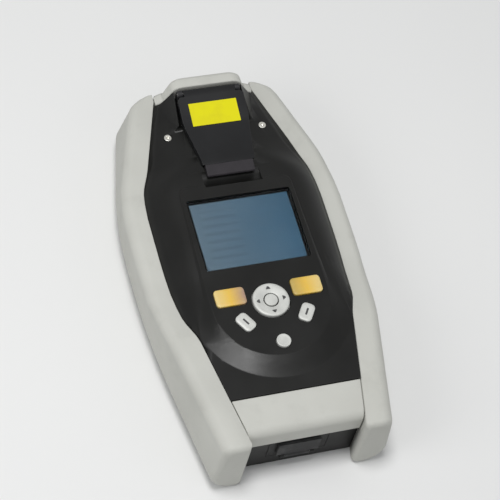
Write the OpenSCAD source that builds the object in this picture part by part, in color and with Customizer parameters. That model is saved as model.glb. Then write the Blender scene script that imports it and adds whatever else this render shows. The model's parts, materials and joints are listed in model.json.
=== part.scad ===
// Handheld analyzer: black two-part housing in a light grey bumper, with a hinged sample cover on
// the nose. It lies on its back: X to the right, Y towards the nose, Z out of the face.

/* [Body] */
// Overall length, from the feet to the nose hoop
body_l = 290; // [284:1:300]
// Width across the waist
body_w = 160; // [154:1:168]
// Half-width over the feet at the front edge
foot_half = 59; // [56:0.5:62]
// Half-width over the feet at mid-depth
foot_mid_half = 62.3; // [60:0.1:65]
// Half-width of the neck at the front edge
neck_half = 57; // [55:0.1:59]
// Half-width of the neck at mid-depth
neck_mid_half = 63; // [60:0.5:66]
// Where the lower taper reaches the waist
waist_low_y = -29; // [-36:1:-22]
// Where the upper taper leaves the waist
waist_high_y = 63; // [58:1:68]
// Softness of the corners between waist and tapers
waist_soft = 7; // [3:0.5:12]
// Corner radius at the nose end
corner_r = 11; // [9:0.5:14]
// Corner radius at the feet
foot_r = 4; // [2:0.5:5]

/* [Bumper] */
// Thickness of the bumper at the sides
bumper_t = 4.5; // [3.5:0.1:6]
// Thickness of the bumper over the face
flange_t = 4; // [3:0.1:5]
// Thickness of the bumper under the back
back_t = 2.6; // [2:0.1:3.5]
// Width of a rail at the waist
rail_w = 16; // [14:0.5:18]
// Extra width of a rail below the grip
rail_low_extra = 3.5; // [2:0.1:5]
// Extra width of a rail above the grip
rail_high_extra = 2.5; // [1:0.1:4]
// Height of the rails at the feet
rail_low_z = 57; // [55:0.5:59]
// Height of the rails in the grip
rail_waist_z = 47.5; // [46:0.5:50]
// Height of the rails at the shoulders
rail_high_z = 51; // [49:0.5:53]
// Radius of the front edge of a rail
rail_edge_r = 7.5; // [6.5:0.5:9]
// Radius of the back edge of a rail
rail_back_r = 13; // [10:0.5:15]
// Height at which the sides are fullest
mid_z = 17; // [14:0.5:20]
// Width of the bumper under the back
back_w = 18; // [16:0.5:22]
// Half-width of the nose hoop at its foot
hoop_half = 36.5; // [34:0.5:39]
// Half-width of the nose hoop at its top
hoop_top_half = 21; // [19:0.5:23]
// Height of the nose hoop
hoop_z = 70; // [69:0.5:73]
// Depth of the nose hoop along the body
hoop_l = 10; // [8:0.5:12]
// Step from the lower bar back to the ends of the feet
foot_step = 8.5; // [6:0.5:11]
// Width of the lower bar
bar_w = 27.5; // [24:0.5:31]
// Depth of the end wall of the lower bar below the face
bar_drop = 18; // [12:1:22]
// Gap between bumper and housing
seam = 0.4; // [0.3:0.1:0.6]

/* [Housing] */
// Wall of the covers
wall = 2.6; // [2:0.1:3.2]
// Height of the split between the covers
split_z = 34; // [32:0.5:36]
// Thickness of the housing gasket
gasket_t = 1; // [0.8:0.1:1.4]
// Height of the rear cover's panel above the table
panel_z = 1; // [0.6:0.1:1.6]
// Height of the face at the display
crown_z = 60.3; // [59:0.1:61]
// Height of the face at both ends
crown_end_z = 57.4; // [56.5:0.1:58.5]
// Height of the keypad shield
shield_z = 61.5; // [61:0.1:63]
// Radius of the keypad shield around the navigation disc
shield_r = 41.5; // [40:0.5:43]
// Width of the slope around the keypad shield
shield_slope_w = 17; // [14:0.5:20]
// Radius of the housing screws
screw_r = 1.5; // [1.25:0.05:1.75]

/* [Display] */
// Width of the picture
screen_w = 73; // [70:0.5:76]
// Height of the picture
screen_h = 54.8; // [52:0.2:57]
// Middle of the picture along the body
screen_y = 16.5; // [15:0.5:18]
// Width of the ledge that the window lies on
ledge_w = 1.5; // [1.2:0.1:2]
// Thickness of the window
window_t = 2; // [1.5:0.1:2.5]
// Depth of the window below the keypad shield
window_sink = 1.5; // [1:0.1:2]

/* [Keys] */
// Middle of the navigation disc along the body
nav_y = -42; // [-44:0.5:-41]
// Radius of the navigation disc
nav_r = 13; // [12:0.1:13.5]
// Radius of the centre key
select_r = 4.6; // [4:0.1:5]
// Gap around the navigation disc, which tilts
nav_gap = 0.7; // [0.6:0.05:0.9]
// Width of a soft key
soft_w = 21.4; // [19:0.2:22.4]
// Height of a soft key
soft_h = 13.3; // [12:0.1:14]
// Place of a soft key across the body
soft_x = 27.3; // [27:0.1:28]
// Place of a soft key along the body
soft_y = -35; // [-36:0.5:-34]
// Length of an arc key along its arc
arc_l = 14; // [12:0.5:15]
// Width of an arc key
arc_w = 9.4; // [8:0.1:10]
// Distance of the arc keys from the middle of the disc
arc_orbit = 25.6; // [24.5:0.1:26.5]
// Angle of the arc keys below the level of the disc
arc_angle = 32; // [28:1:36]
// Radius of the power key
power_r = 5; // [4:0.1:6]
// Middle of the power key along the body
power_y = -74; // [-76:0.5:-73]
// Gap around each key
key_gap = 0.4; // [0.3:0.05:0.5]
// Height of the keys above the shield
key_rise = 1.7; // [1.2:0.1:2.2]
// Travel of each key
key_travel = 1; // [0.6:0.1:1.2]
// Flange around the foot of each key
key_flange = 1.5; // [1.2:0.1:2]

/* [Sample cover] */
// Distance of the cover's lip from the nose end
lip_in = 83; // [81:0.5:85]
// Length of the lip
lip_l = 9; // [7:0.5:11]
// Half-width of the cover at the lip
lip_half = 19; // [17:0.5:20]
// Half-width of the cover at the yellow plate
door_half = 24.5; // [23:0.5:25.5]
// Height of the cover at the lip
door_z = 65; // [64:0.2:66]
// Distance of the start of the slope from the nose end
knee_in = 43; // [41:0.5:45]
// Height of the cover where the slope starts
knee_z = 64.1; // [63.5:0.1:64.8]
// Height of the cover's underside
door_under_z = 60.6; // [60.4:0.1:61]
// Radius of the hinge barrel
barrel_r = 2.6; // [2.3:0.1:2.8]
// Radius of the hinge pin
pin_r = 1.25; // [1:0.05:1.5]
// Half-length of the hinge barrel
barrel_half = 19; // [16:0.5:20]
// Width of each hinge ear
ear_w = 4.2; // [3:0.1:4.6]
// Width of the yellow plate
plate_w = 35.6; // [32:0.2:38]
// Height of the yellow plate
plate_h = 17.6; // [16:0.2:18.4]
// Thickness of the yellow plate
plate_t = 0.5; // [0.3:0.1:0.8]
// Radius of the vial well
well_r = 8.25; // [7.5:0.05:9]
// Depth of the vial well
well_depth = 38; // [34:0.5:40]
// Distance of the vial well from the nose end
well_in = 47; // [45:0.5:49]

/* [Back] */
// Half-width of the battery door
battery_half = 32; // [30:0.5:34]
// Distance of the battery door from the feet
battery_in = 29; // [27:0.5:33]
// Hinge of the battery door along the body
battery_hinge_y = -42; // [-46:0.5:-40]
// Height of the battery pack
battery_h = 20; // [16:0.5:22]
// Bore of the data socket
socket_r = 4.5; // [4:0.1:5]
// Depth of the data socket
socket_depth = 8; // [7:0.5:9]

/* [Hidden] */

$fn = 32;
eps = 0.05;
over = 1;
least_step = 1;
pin_play = 0.05;
foot_y = -body_l / 2;
top_y = body_l / 2;
neck_y = top_y - corner_r;
hoop_y = top_y - hoop_l;
bar_end_y = foot_y + foot_step;
face_low_y = bar_end_y + bar_w;
foot_wall_t = bumper_t - 1;
nose_wall_t = bumper_t + 1.5;
core_low_y = bar_end_y + foot_wall_t;
core_high_y = top_y - nose_wall_t;
lip_y = top_y - lip_in;
knee_y = top_y - knee_in;
well_y = top_y - well_in;
battery_low_y = foot_y + battery_in;

// Where the rails rise and widen along the body
grip_low_y = -65;
grip_low_run = 50;
grip_high_y = 60;
grip_high_run = 30;
jog_low_y = -62;
jog_low_run = 22;
jog_high_y = 64;
jog_high_run = 18;
waist_from_y = -30;
nose_from_y = 92;
station_l = 12;
lead_l = 4;
arc_steps = 4;

// Easing from 0 to 1 between two places, and a minimum with a soft corner
function ease(a, b, y) = let (t = max(0, min(1, (y - a) / (b - a)))) t * t * (3 - 2 * t);
function soft_min(a, b, k) = min(a, b) - pow(max(k - abs(a - b), 0), 2) / (4 * k);
function arc(cx, cz, rx, rz, from, to, n = arc_steps) =
    [for (i = [0:n]) let (a = from + (to - from) * i / n) [cx + rx * cos(a), cz + rz * sin(a)]];
function mirrored(path) =
    concat([for (p = path) [-p.x, p.y]], [for (i = [len(path) - 1:-1:0]) path[i]]);
function within(places, a, b) =
    concat([a], [for (y = places) if (y > a + least_step && y < b - least_step) y], [b]);

// Outline of the body: two tapers and the waist, with round corners at both ends
function side_line(y, foot, neck) =
    let (low = foot + (y - foot_y) * (body_w / 2 - foot) / (waist_low_y - foot_y),
         high = neck + (neck_y - y) * (body_w / 2 - neck) / (neck_y - waist_high_y))
    soft_min(soft_min(low, body_w / 2, waist_soft), high, waist_soft);
function round_in(r, over) = r - sqrt(max(0, r * r - pow(min(r, max(0, over)), 2)));
function corner(y) = round_in(corner_r, y - neck_y) + round_in(foot_r, foot_y + foot_r - y);
function front_half(y) = side_line(y, foot_half, neck_half) - corner(y);
function mid_half(y) = side_line(y, foot_mid_half, neck_mid_half) - corner(y);
function rail_z(y) =
    rail_waist_z + (rail_low_z - rail_waist_z) * (1 - ease(grip_low_y, grip_low_y + grip_low_run, y))
    + (rail_high_z - rail_waist_z) * ease(grip_high_y, grip_high_y + grip_high_run, y);
function rail_width(y) =
    rail_w + rail_low_extra * (1 - ease(jog_low_y, jog_low_y + jog_low_run, y))
    + rail_high_extra * ease(jog_high_y, jog_high_y + jog_high_run, y);
function face_half(y) = side_line(y, foot_half, neck_half) - rail_width(y);
function rail_in(y) = max(hoop_half + seam, face_half(y));
function back_in(y) = max(hoop_half + seam, mid_half(y) - back_w);
function edge_r(y) = min(rail_edge_r, 0.8 * (front_half(y) - rail_in(y)));
function back_r(y) = min(rail_back_r, 0.8 * (mid_half(y) - back_in(y)));
function wall_x(y, z) =
    let (top = rail_z(y) - edge_r(y))
    mid_half(y) + (front_half(y) - mid_half(y)) * (z - mid_z) / (top - mid_z);

// Crown of the face between the rails: a flat middle that falls away to the edges
crown_from_y = -75;
crown_low_y = -30;
crown_high_y = 58;
crown_fade_y = 95;
crown_flat_end = 12;
crown_flat_gain = 28;
crown_over_rail = 0.4;
function crown_bump(y) = ease(crown_from_y, crown_low_y, y) * (1 - ease(crown_high_y, crown_fade_y, y));
function crown_top(y) = crown_end_z + (crown_z - crown_end_z) * crown_bump(y);
function crown_flat(y) = crown_flat_end + crown_flat_gain * crown_bump(y);
function crown_edge(y) = rail_z(y) + crown_over_rail;
function crown_at(x, y) =
    let (t = max(0, (abs(x) - crown_flat(y)) / (face_half(y) - seam - crown_flat(y))))
    crown_top(y) - (crown_top(y) - crown_edge(y)) * t * t;

function steps(a, b, n) = [for (i = [0:n]) a + (b - a) * i / n];
corner_turns = [for (a = [20, 40, 60, 75, 90]) neck_y + corner_r * sin(a)];

// Solid through a row of sections, each a closed path in X and Z at its own place along Y. A
// folded path has its right half as the mirror of its left half, facets included.
module loft(places, paths, folded = false) {
    n = len(paths[0]);
    last = len(places) - 1;
    points = [for (i = [0:last]) for (p = paths[i]) [p.x, places[i], p.y]];
    sides = [for (i = [0:last - 1]) for (j = [0:n - 1])
        let (a = i * n + j, b = i * n + (j + 1) % n, c = a + n, d = b + n)
        each (folded && 2 * j >= n ? [[a, c, b], [b, c, d]] : [[a, c, d], [a, d, b]])];
    caps = [[for (j = [0:n - 1]) j], [for (j = [n - 1:-1:0]) last * n + j]];
    polyhedron(points, concat(sides, caps));
}

// Rail of the bumper: a channel around the housing, solid at the foot and at the shoulder
least_r = 0.5;
closed = -0.02;
function rail_path(y) =
    let (d = round_in(foot_r, foot_y + foot_r - y), inner = rail_in(y) + d, outer = front_half(y),
         mid = mid_half(y), top = rail_z(y) - d, foot = d / 2,
         r = edge_r(y), rb = back_r(y), back = back_in(y) + d,
         hollow = y < core_low_y || y > core_high_y ? closed : 1,
         shoulder = concat([[inner, top]], arc(outer - r, top - r, r, r, 90, 0)),
         heel = concat(arc(mid - rb, mid_z, rb, mid_z - foot, 0, -90), [[back, foot]]),
         side_r = max(r - bumper_t, least_r),
         lining = concat([[back, back_t]],
                         arc(mid - rb, mid_z, max(rb - bumper_t, least_r), mid_z - back_t, -90, 0),
                         arc(outer - r, top - r, side_r, max(r - flange_t, least_r), 0, 90),
                         [[inner, top - flange_t]]))
    concat(heel, [for (p = lining) [inner + (p.x - inner) * (p.x < inner ? 1 : hollow), p.y]], shoulder);
foot_turns = [for (a = [0, 25, 50, 70, 90]) foot_y + foot_r * (1 - cos(a))];
rail_places = concat(foot_turns, [core_low_y - seam, core_low_y],
                     steps(core_low_y + station_l, jog_low_y - lead_l, 4),
                     steps(jog_low_y, jog_low_y + jog_low_run, 4),
                     steps(waist_from_y, jog_high_y - 2 * lead_l, 7),
                     steps(jog_high_y, jog_high_y + jog_high_run, 4),
                     steps(nose_from_y, neck_y, 3), [corner_turns[0]], [core_high_y, core_high_y + seam],
                     [for (y = corner_turns) if (y > core_high_y + least_step) y]);
module rail() {
    loft(rail_places, [for (y = rail_places) rail_path(y)]);
}
module bumper_right() {
    color([0.8, 0.8, 0.77]) rail();
}
module bumper_left() {
    color([0.8, 0.8, 0.77]) mirror([1, 0, 0]) rail();
}

// Lower bar of the bumper, an angle over the lower edge of the face
bar_edge_r = rail_edge_r - 1;
function bar_path() =
    let (top = rail_low_z, r = bar_edge_r)
    concat([[face_low_y, top - flange_t], [face_low_y, top]], arc(bar_end_y + r, top - r, r, r, 90, 180),
           [[bar_end_y, top - bar_drop], [core_low_y - seam, top - bar_drop],
            [core_low_y - seam, top - flange_t]]);
module bumper_bar() {
    low = rail_in(bar_end_y) - 2 * seam;
    high = rail_in(face_low_y) - 2 * seam;
    color([0.8, 0.8, 0.77]) intersection() {
        rotate([90, 0, 90]) linear_extrude(body_w, center = true) polygon(bar_path());
        linear_extrude(hoop_z)
            polygon([[-low, bar_end_y], [low, bar_end_y], [high, face_low_y], [-high, face_low_y]]);
    }
}

// Hoop over the nose, which also closes the upper end of the bumper
hoop_edge_r = 4;
hoop_lip = 0.6;
hoop_step = 1;
hoop_bend = 1;
hoop_foot_in = 6;
hoop_foot_r = [4, 2.5];
hoop_crest_in = 3;
hoop_crest_r = [9, 7];
function hoop_path(y) =
    let (d = y < hoop_y + hoop_step ? hoop_lip : round_in(hoop_edge_r, y - top_y + hoop_edge_r),
         foot = y > core_high_y ? d : rail_high_z - flange_t,
         bend_z = rail_high_z + hoop_bend - d)
    mirrored(concat([[hoop_half - d, foot], [hoop_half - d, bend_z]],
                    arc(hoop_half - hoop_foot_in - d, bend_z, hoop_foot_r.x, hoop_foot_r.y, 40, 90, 2),
                    arc(hoop_top_half - hoop_crest_in - d, hoop_z - hoop_crest_r.y - d,
                        hoop_crest_r.x, hoop_crest_r.y, 20, 90)));
module bumper_hoop() {
    places = concat([hoop_y, hoop_y + hoop_step, core_high_y, core_high_y + seam],
                    [for (a = [0, 22, 50, 90]) top_y - hoop_edge_r * (1 - sin(a))]);
    color([0.8, 0.8, 0.77]) loft(places, [for (y = places) hoop_path(y)], true);
}

// Housing: both covers follow the channel in the rails, one wall thick
core_places = within(rail_places, core_low_y, core_high_y);
every_other = [for (i = [0:2:len(rail_places) - 1]) rail_places[i]];
core_inner = within(every_other, core_low_y + wall, core_high_y - wall);
face_places = within(rail_places, face_low_y + seam, hoop_y - seam);
face_inner = within(every_other, face_low_y + seam + wall, hoop_y - seam - wall);
skin_in = bumper_t + seam;
crown_foot = flange_t + seam + 2;
function upper_path(y, d, foot) =
    let (r = edge_r(y), x = front_half(y) - r, z = rail_z(y) - r)
    mirrored(concat([[wall_x(y, split_z) - skin_in - d, foot]],
                    arc(x, z, r - skin_in - d, r - flange_t - seam - d, 0, 90, d > 0 ? 2 : arc_steps)));
function crown_path(y, d) =
    let (edge = face_half(y) - seam, flat = crown_flat(y), n = d > 0 ? 3 : 6)
    mirrored(concat([[edge - d, rail_z(y) - crown_foot - d]],
                    [for (i = [0:n]) let (x = flat + (edge - flat) * (1 - i / n))
                        [min(x, edge - d), crown_at(x, y) - d]]));
function lower_path(y, d, top) =
    let (r = back_r(y), x = mid_half(y) - r)
    mirrored(concat(arc(x, mid_z, r - skin_in - d, mid_z - back_t - seam - d, -90, 0, d > 0 ? 2 : arc_steps),
                    [[wall_x(y, split_z) - skin_in - d, top]]));
function panel_path(y, d) =
    let (x = back_in(y) - seam - d) mirrored([[x, panel_z + d], [x, back_t + 2 * wall]]);
module run(places, d, kind, z = 0) {
    loft(places, [for (y = places)
        kind == "upper" ? upper_path(y, d, z) : kind == "crown" ? crown_path(y, d)
        : kind == "lower" ? lower_path(y, d, z) : panel_path(y, d)], true);
}

// Rounded rectangle
module rounded(w, h, r) {
    hull() for (x = [-1, 1], y = [-1, 1]) translate([x * (w / 2 - r), y * (h / 2 - r)]) circle(r);
}

// Outline of the keypad shield: an arc around the navigation disc, and round corners up to the
// display. Each corner gives its place, its radius and its share of the slope.
shield_arc_low = 22;
shield_sides = 72;
shield_corners = [[31.7, nav_y - 8, 9, 0.65], [33, soft_y - over, 9, 0.4], [screen_w / 2 - 2, 50, 6, 0.15]];
module shield_outline(grow = 0) {
    hull() {
        intersection() {
            translate([0, nav_y]) circle(shield_r + grow, $fn = shield_sides);
            translate([-body_w / 2, nav_y - shield_arc_low - body_l]) square([body_w, body_l]);
        }
        for (side = [-1, 1], c = shield_corners)
            translate([side * c[0], c[1]]) circle(c[2] + c[3] * grow);
    }
}

// Shield on the face: a flat top in an eased slope that dips just under the crown
shield_steps = 8;
shield_ease = 0.45;
shield_dip = 0.25;
shield_skirt = [2, 1.2];
shield_drop = shield_z - crown_end_z + shield_dip;
module shield_slice(grow, drop) {
    translate([0, 0, shield_z - drop - eps]) linear_extrude(eps) shield_outline(grow);
}
module shield() {
    slices = concat([for (t = steps(0, 1, shield_steps))
                        [t * shield_slope_w, shield_drop * (t + shield_ease * (ease(0, 1, t) - t))]],
                    [[shield_slope_w, shield_drop] + shield_skirt]);
    for (i = [1:len(slices) - 1]) hull() {
        shield_slice(slices[i - 1].x, slices[i - 1].y);
        shield_slice(slices[i].x, slices[i].y);
    }
}

// Levels of the keypad, from the shield down to the board
seat_z = shield_z - 3.2;
mat_z = seat_z - 3.9;
mat_t = 1.6;
board_t = 1.6;
board_z = mat_z - mat_t;
flange_h = 1.2;
flange_play = 0.2;
nav_lift = 1.2;
nav_foot_z = seat_z - nav_lift - flange_h;
cross_play = 0.12;
cross_r = 0.4;
cross_low_z = mat_z + cross_play + cross_r;
cross_high_z = nav_foot_z - cross_play - cross_r;
select_foot_z = nav_foot_z + key_travel + 2 * cross_play;

// Levels and places at the nose
hinge_gap = 1.2;
hinge_y = hoop_y - barrel_r - hinge_gap;
hinge_z = 66.9;
door_slope = atan(4.1 / 19);
door_top_z = hinge_z + barrel_r;
door_play = 0.4;
ridge_z = door_under_z - door_play;
ridge_in = 1.2;
ridge_start = 6;
pocket_z = crown_end_z - 0.4;
pocket_in = 5.3;
well_flange_z = pocket_z + 1.8;
well_wall = 2.2;
well_half = 16;
well_run = 17;
beam_z = well_flange_z - well_depth + 8;
beam_r = 2.4;
nose_screw_x = 35.4;
nose_screw_in = 41;
nose_screw_y = top_y - nose_screw_in;
nose_screw_z = 53.2;
nose_screw_l = 7.5;
nose_shank_r = 1.2;
nose_head_r = 2.7;
nose_head_h = 1.7;
nose_at = [[nose_screw_x, nose_screw_y]];

// Fixings
low_screw_x = 45;
low_screw_in = 45;
waist_screw_x = 48;
waist_screw_y = 20;
high_screw_x = 38;
high_screw_in = 25;
housing_at = [[low_screw_x, foot_y + low_screw_in], [waist_screw_x, waist_screw_y],
              [high_screw_x, top_y - high_screw_in]];
boss_r = 4;
post_r = boss_r - 1;
block_in = 38;
block_y = well_y - block_in;
board_x = 33;
board_low_y = -26;
board_in = 8;
board_at = [[board_x, board_low_y], [board_x, block_y - board_in]];
keypad_head_x = 37;
keypad_head_rise = 13.5;
keypad_foot_x = 28;
keypad_foot_drop = 12;
keypad_at = [[keypad_head_x, soft_y + keypad_head_rise], [keypad_foot_x, power_y - keypad_foot_drop]];
main_board_z = 30.5;
floor_z = panel_z + wall;
small_r = 1.1;
small_head_r = 2.2;
small_head_h = 1.2;
small_grip = 4;
shank_play = 0.15;
post_sides = 20;
hole_sides = 16;
function roof(p) = abs(p.x) < face_half(p.y) - seam - wall - boss_r ? crown_at(p.x, p.y)
    : rail_z(p.y) - flange_t - seam;
module both(at) {
    for (p = at, side = [-1, 1]) translate([side * p.x, p.y, 0]) children();
}
module posts(at, r, foot) {
    for (p = at) both([p]) translate([0, 0, foot])
        cylinder(r = r, h = roof(p) - over - foot, $fn = post_sides);
}
module hole(r, foot, h) {
    translate([0, 0, foot]) cylinder(r = r, h = h, $fn = hole_sides);
}

// Front cover: crowned face with the keypad shield, the ridge under the cover and the hump at the nose
hump_y = nose_screw_y + 5;
hump_foot_z = rail_high_z - flange_t;
module hump_section(y, path) {
    translate([0, y, 0]) rotate([90, 0, 0]) linear_extrude(eps) polygon(mirrored(path));
}
module hump() {
    hull() {
        hump_section(hoop_y - 1.5 * seam, [
            [hoop_half - 2, hump_foot_z], [hoop_half - 2, rail_high_z + over],
            [hoop_top_half + 4, hoop_z - 3.4], [hoop_top_half + 1, hoop_z - 1.2]]);
        hump_section(hump_y, [
            [hoop_half - 5, hump_foot_z], [hoop_half - 5, rail_high_z + 2],
            [door_half + 2.5, ridge_z + 0.8], [door_half, ridge_z + 1.4]]);
    }
}
module ridge() {
    foot_z = crown_end_z - wall;
    low_y = lip_y + ridge_start;
    wide_y = knee_y + 4;
    high_y = hoop_y - 2 * seam;
    low = lip_half - ridge_in;
    high = door_half - ridge_in;
    translate([0, 0, foot_z]) linear_extrude(ridge_z - foot_z)
        polygon(mirrored([[low, low_y], [high, wide_y], [high, high_y]]));
}
window_z = shield_z - window_sink - window_t;
window_corner_r = 2;
picture_corner_r = 1.5;
frame_h = 3;
frame_w = 5;
frame_z = window_z - frame_h;
module display_frame() {
    translate([0, screen_y, frame_z]) linear_extrude(frame_h)
        rounded(screen_w + 2 * frame_w, screen_h + 2 * frame_w, frame_h);
}
module face_plan() {
    polygon(concat([for (y = face_places) [face_half(y) - 2 * seam, y + seam]],
                   [for (i = [len(face_places) - 1:-1:0])
                       [2 * seam - face_half(face_places[i]), face_places[i] + seam]]));
}
keypad_room = 2.5;
module front_solid() {
    difference() {
        union() {
            run(core_places, 0, "upper", split_z + gasket_t);
            run(face_places, 0, "crown");
            intersection() {
                shield();
                linear_extrude(hoop_z) face_plan();
            }
            hump();
            ridge();
        }
        run(core_inner, wall, "upper", split_z - over);
        run(face_inner, wall, "crown");
        translate([0, 0, board_z]) linear_extrude(seat_z - board_z) shield_outline(keypad_room);
    }
    display_frame();
    posts(housing_at, boss_r, split_z + gasket_t);
    posts(keypad_at, post_r, board_z);
    posts(nose_at, post_r, nose_screw_z - nose_screw_l - over);
}
soft_corner_r = 2.6;
arc_corner_r = 3.1;
module key_holes() {
    for (side = [-1, 1]) {
        translate([side * soft_x, soft_y])
            rounded(soft_w + 2 * key_gap, soft_h + 2 * key_gap, soft_corner_r + key_gap);
        arc_place(side) rounded(arc_w + 2 * key_gap, arc_l + 2 * key_gap, arc_corner_r + key_gap);
    }
    translate([0, power_y]) circle(power_r + key_gap);
    translate([0, nav_y]) circle(nav_r + nav_gap);
}
module arc_place(side) {
    translate([side * arc_orbit * cos(arc_angle), nav_y - arc_orbit * sin(arc_angle)])
        rotate(-side * arc_angle) children();
}
module cut_above(half, low_y, high_y, z) {
    translate([-half, low_y, z]) cube([2 * half, high_y - low_y, hoop_z]);
}
thumb_r = 8.6;
thumb_z = door_z + 2;
door_side_play = 0.8;
head_play = 0.4;
module front_cover() {
    color([0.14, 0.14, 0.13]) difference() {
        front_solid();
        translate([0, 0, seat_z - over]) linear_extrude(hoop_z) key_holes();
        translate([0, screen_y, window_z]) linear_extrude(hoop_z)
            rounded(screen_w + 2 * ledge_w, screen_h + 2 * ledge_w, window_corner_r);
        translate([0, screen_y, frame_z - over]) linear_extrude(hoop_z)
            rounded(screen_w, screen_h, picture_corner_r);
        cut_above(door_half + door_side_play, lip_y - 2, top_y, ridge_z);
        cut_above(barrel_half + ear_w + over, hinge_y - pocket_in, top_y, pocket_z);
        cut_above(well_half + seam, well_y - well_run - seam, well_y + well_run + seam, pocket_z);
        translate([0, well_y, split_z]) cylinder(r = well_r + well_wall + seam, h = hoop_z);
        translate([0, lip_y - over, thumb_z]) pin(thumb_r, lip_half + 2);
        both(nose_at) hole(nose_head_r + head_play, nose_screw_z, hoop_z);
        both(nose_at)
            hole(nose_shank_r + shank_play, nose_screw_z - nose_screw_l - shank_play, nose_screw_l + over);
        both(housing_at) hole(screw_r + shank_play, split_z, housing_grip + 2 * over);
        both(keypad_at) hole(small_r + shank_play, board_z - over, small_grip + over + shank_play);
    }
}

// Rear cover, with the battery opening, the socket opening and the screw bosses
battery_play = 0.4;
battery_corner_r = 1;
battery_end_y = battery_hinge_y + 3;
socket_half = 21;
socket_low_z = 12;
socket_high_z = 31;
housing_head_r = 2.8;
housing_head_h = 2;
housing_head_z = floor_z + 1.6;
housing_grip = 10;
gusset_l = 11;
gusset_h = 7;
gusset_drop = 7;
module gusset(p, side) {
    hull() {
        hole_at = [side * p.x, p.y, 0];
        translate(hole_at) hole(over, floor_z - over, split_z - floor_z - gusset_drop + over);
        translate(hole_at + [side * gusset_l, 0, 0]) hole(over, floor_z - over, gusset_h + over);
    }
}
module rear_outside() {
    run(core_places, 0, "lower", split_z);
    run(core_places, 0, "panel");
}
module rear_solid() {
    difference() {
        rear_outside();
        run(core_inner, wall, "lower", split_z + over);
        run(core_inner, wall, "panel");
    }
    intersection() {
        union() {
            both(housing_at) translate([0, 0, panel_z + 0.5])
                cylinder(r = boss_r, h = split_z - panel_z - 0.5, $fn = post_sides);
            for (p = housing_at, side = [-1, 1]) gusset(p, side);
        }
        rear_outside();
    }
    both(board_at) translate([0, 0, floor_z - over])
        cylinder(r = post_r, h = main_board_z - floor_z + over, $fn = post_sides);
}
module rear_cover() {
    battery_l = battery_end_y - battery_low_y + 2 * battery_play;
    socket_h = socket_high_z - socket_low_z + 2 * seam;
    color([0.16, 0.16, 0.15]) difference() {
        rear_solid();
        translate([0, (battery_low_y + battery_end_y) / 2, -over]) linear_extrude(floor_z + 2 * over)
            rounded(2 * (battery_half + battery_play), battery_l, battery_corner_r);
        translate([-socket_half - seam, core_low_y - over, socket_low_z - seam])
            cube([2 * (socket_half + seam), 2 * wall + over, socket_h]);
        both(housing_at) hole(housing_head_r + head_play, -over, housing_head_z + over);
        both(housing_at) hole(screw_r + 2 * shank_play, 0, split_z + over);
        both(board_at) hole(small_r + shank_play, main_board_z - small_grip - 3, small_grip + 4);
    }
}

// Gasket between the covers
gasket_in = 0.3;
module rim(d) {
    places = within(rail_places, core_low_y + d, core_high_y - d);
    polygon(concat([for (y = places) [wall_x(y, split_z) - skin_in - d, y]],
                   [for (i = [len(places) - 1:-1:0])
                       [d + skin_in - wall_x(places[i], split_z), places[i]]]));
}
module housing_gasket() {
    color([0.25, 0.25, 0.25]) translate([0, 0, split_z]) linear_extrude(gasket_t) difference() {
        rim(gasket_in);
        rim(wall - gasket_in);
    }
}

// Screws: a round head with a shank below it
module screw(head_r, head_h, r, l) {
    cylinder(r = head_r, h = head_h);
    translate([0, 0, -l]) cylinder(r = r, h = l);
}
module housing_screws() {
    shank_l = split_z + gasket_t + housing_grip - housing_head_z;
    color([0.6, 0.6, 0.62]) both(housing_at) translate([0, 0, housing_head_z]) rotate([180, 0, 0])
        screw(housing_head_r, housing_head_h, screw_r, shank_l);
}
module nose_screws() {
    color([0.75, 0.74, 0.68]) both(nose_at) translate([0, 0, nose_screw_z])
        screw(nose_head_r, nose_head_h, nose_shank_r, nose_screw_l);
}
module keypad_screws() {
    color([0.6, 0.6, 0.62]) both(keypad_at) translate([0, 0, board_z - board_t]) rotate([180, 0, 0])
        screw(small_head_r, small_head_h, small_r, board_t + small_grip);
}
module board_screws() {
    color([0.6, 0.6, 0.62]) both(board_at) translate([0, 0, main_board_z + board_t])
        screw(small_head_r, small_head_h, small_r, board_t + small_grip);
}

// Display: the window lies on the ledge, the module hangs under the frame
glass_play = 0.2;
module_edge = 4;
module_h = 7;
module_rise = 2.8;
module_play = 0.7;
module display_window() {
    color([0.3, 0.42, 0.5, 0.6]) translate([0, screen_y, window_z]) linear_extrude(window_t)
        rounded(screen_w + 2 * (ledge_w - glass_play), screen_h + 2 * (ledge_w - glass_play),
                window_corner_r - glass_play);
}
module display_module() {
    color([0.35, 0.47, 0.56]) translate([0, screen_y, frame_z]) {
        translate([-screen_w / 2 - module_edge, -screen_h / 2 - module_edge, -module_h])
            cube([screen_w + 2 * module_edge, screen_h + 2 * module_edge, module_h]);
        translate([module_play - screen_w / 2, module_play - screen_h / 2, -over])
            cube([screen_w - 2 * module_play, screen_h - 2 * module_play, module_rise + over]);
    }
}

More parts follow.
